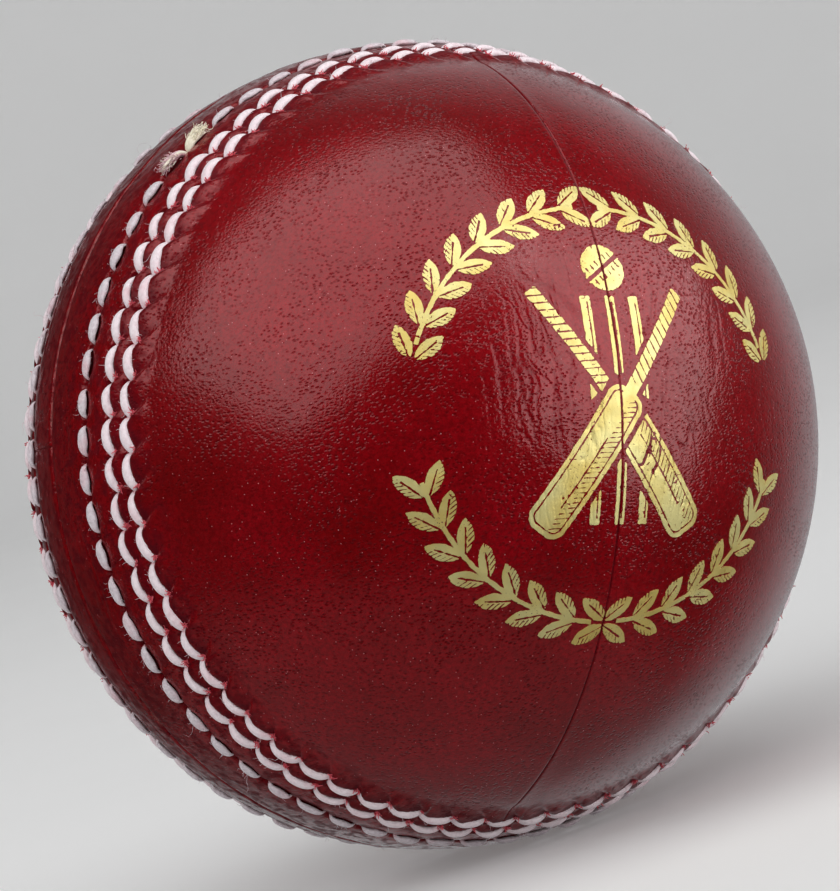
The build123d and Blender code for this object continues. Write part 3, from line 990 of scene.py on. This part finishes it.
def foil_piece(name, edge):
    """A thin closed sheet of foil that follows the leather, with ragged and cracked edges."""
    reach = WREATH_RADIUS + LEAF_LENGTH
    line = np.arange(-reach, reach, STAMP_STEP)
    u, v = np.meshgrid(line, line, indexing="ij")
    n = Noise(401)
    field = edge(u, v) + 0.035 * n(u / 0.32, v / 0.32) + 0.02 * n(u / 0.13 + 3, v / 0.13)
    s, a = front.from_direction(stamp_direction(u, v))
    across = front.seam_distance(s, a) + front.seam_waver(s)
    field = np.maximum(field, 0.11 + 0.03 * n(v / 0.3, 7.0) - np.abs(across))
    crack = np.minimum(front.crease(s, a) - 0.72, n(u / 1.9, v / 1.9 + 5) - 0.1)
    pinhole = np.minimum(n(u / 0.16, v / 0.16 + 9) - 0.74, n(u / 3.5 + 2, v / 3.5) - 0.15)
    field = np.maximum(field, 0.4 * np.maximum(crack, pinhole))
    flat_u, flat_v, triangles, quads = cut_shape(field, u, v)
    way = stamp_direction(flat_u, flat_v)
    radius = front.surface(*front.from_direction(way))[0]
    top = way * (radius + FOIL_LIFT)[:, None]
    bottom = way * (radius + FOIL_LIFT - FOIL_DEPTH)[:, None]
    rim = rim_of(triangles, quads)
    count = len(top)
    wall = np.stack([rim[:, 1], rim[:, 0], rim[:, 0] + count, rim[:, 1] + count], -1)
    faces = [quads, quads[:, ::-1] + count, wall, triangles, triangles[:, ::-1] + count]
    piece = make_mesh(name, np.concatenate([top, bottom]), faces)
    piece.data.set_sharp_from_angle(angle=radians(40))
    return piece


for name, edge, node in (
    ("foil_wreath", wreath_edge, "gold_wreath"),
    ("foil_motif", motif_edge, "gold_motif"),
):
    piece = foil_piece(name, edge)
    set_material(piece, foil)
    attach(piece, "root")
    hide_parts(node)

# ---- floor, lights, camera
FLOOR_REACH = 0.9
COVE = 0.5  # radius of the curve from the floor to the wall
WALL_TOP = 1.6


def backdrop():
    """A pale floor that curves up all round, far behind the ball, so that no edge shows."""
    profile = [(r, 0.0) for r in (0.0, 0.1, 0.25, 0.5, FLOOR_REACH)]
    profile += [(FLOOR_REACH + COVE * sin(t), COVE * (1 - cos(t))) for t in np.linspace(0.1, pi / 2, 12)]
    profile += [(FLOOR_REACH + COVE, 2 * COVE), (FLOOR_REACH + COVE, WALL_TOP)]
    turns = np.linspace(0, 2 * pi, 96, endpoint=False)
    points = [[r * cos(t), r * sin(t), cad_low.z + h] for r, h in profile for t in turns]
    return make_mesh("floor", np.array(points) / MM, [grid_quads(len(profile), len(turns), wrap=True)])


def floor_material():
    """Less light comes back from the floor to the ball than it shows, so that the shading keeps its depth."""
    material, shader, n = new_material("pale_floor")
    colour = n.mix(n.noise(n.position(), 0.02, 3.0), (0.80, 0.80, 0.80, 1), (0.84, 0.84, 0.84, 1))
    bounced = n.add("ShaderNodeLightPath").outputs["Is Diffuse Ray"]
    n.link(n.mix(bounced, colour, (0.58, 0.58, 0.58, 1)), shader.inputs["Base Color"])
    n.link(n.spread(bounced, 0.0, 1.0, 0.15, 0.10), shader.inputs["Emission Strength"])
    shader.inputs["Emission Color"].default_value = (1, 1, 1, 1)
    shader.inputs["Roughness"].default_value = 0.9
    shader.inputs["Specular IOR Level"].default_value = 0.1
    return material


floor = backdrop()
set_material(floor, floor_material())
floor.visible_glossy = False

VIEW_AZIMUTH = radians(-27.4)
VIEW_ELEVATION = radians(3.05)
VIEW_ROLL = radians(-16.6)
VIEW_DISTANCE = 10 * CUP * MM
SENSOR = 36.0
LENS = 167.87
AIM_LEFT = 0.524 * MM  # the ball stands a little right of the middle

towards_viewer = Vector((sin(VIEW_AZIMUTH), -cos(VIEW_AZIMUTH), 0))
back_axis = towards_viewer * cos(VIEW_ELEVATION) + Vector((0, 0, sin(VIEW_ELEVATION)))
level_right = Vector((cos(VIEW_AZIMUTH), sin(VIEW_AZIMUTH), 0))
level_up = back_axis.cross(level_right)
right = level_right * cos(VIEW_ROLL) + level_up * sin(VIEW_ROLL)
up = back_axis.cross(right)
camera_data = bpy.data.cameras.new("camera")
camera_data.sensor_fit = "HORIZONTAL"
camera_data.sensor_width = SENSOR
camera_data.lens = LENS
camera_data.clip_start = 0.01
camera = bpy.data.objects.new("camera", camera_data)
bpy.context.scene.collection.objects.link(camera)
axes = Matrix((right, up, back_axis)).transposed().to_4x4()
camera.matrix_world = Matrix.Translation(back_axis * VIEW_DISTANCE - right * AIM_LEFT) @ axes
bpy.context.scene.camera = camera


def soft_box(name, towards, long_way, size, radiance):
    """A soft box about a metre from the ball, placed and turned in the camera's axes."""
    direction = right * towards[0] + up * towards[1] + back_axis * towards[2]
    facing = direction.normalized()
    along = right * long_way[0] + up * long_way[1] + back_axis * long_way[2]
    along = (along - facing * along.dot(facing)).normalized()
    data = bpy.data.lights.new(name, "AREA")
    data.shape = "RECTANGLE"
    data.size, data.size_y = size
    data.energy = radiance * pi * data.size * data.size_y
    lamp = bpy.data.objects.new(name, data)
    bpy.context.scene.collection.objects.link(lamp)
    turn = Matrix((along, facing.cross(along), facing)).transposed().to_4x4()
    lamp.matrix_world = Matrix.Translation(direction) @ turn
    lamp.visible_camera = False
    return lamp


soft_box("overhead_box", (-0.38, 0.80, 0.50), (1.48, 1.19, -0.44), (2.0, 1.20), 1.42)
window = soft_box("window_box", (0.80, 0.42, 0.42), (-0.14, 0.84, -0.55), (1.25, 1.12), 2.1)
# this box stands so low that it would light the backdrop in a hard-edged patch, so it lights only the ball
not_lit = bpy.data.collections.new("not_lit_by_the_window_box")
not_lit.objects.link(floor)
not_lit.collection_objects[0].light_linking.link_state = "EXCLUDE"
window.light_linking.receiver_collection = not_lit
fill = soft_box("left_fill", (-0.88, 0.10, 0.46), (0, 1, 0), (0.9, 0.9), 0.25)
fill.visible_glossy = False


def surroundings():
    """What the ball reflects besides the soft boxes: a glow behind it, weak on the left, and one below it."""
    world = bpy.data.worlds.new("studio")
    world.use_nodes = True
    n = Nodes(world)
    way = n.add("ShaderNodeTexCoord").outputs["Generated"]

    def facing(axis):
        """How far a direction points along an axis, from -1 to 1."""
        node = n.add("ShaderNodeVectorMath", {0: way, 1: tuple(axis)}, operation="DOT_PRODUCT")
        return node.outputs["Value"]

    behind = n.spread(facing(-back_axis), 0.35, 0.80, 0.0, 0.40)
    behind = n.times(behind, n.spread(facing(right), -0.45, -0.10, 0.08, 1.0))
    table = n.spread(facing(-up), 0.55, 0.72, 0.0, 0.15)
    background = world.node_tree.nodes["Background"]
    background.inputs[0].default_value = (0.96, 0.97, 1.0, 1)
    n.link(n.math("ADD", n.math("MAXIMUM", behind, table), 0.004), background.inputs[1])
    return world


bpy.context.scene.world = surroundings()
bpy.context.scene.view_settings.view_transform = "Standard"
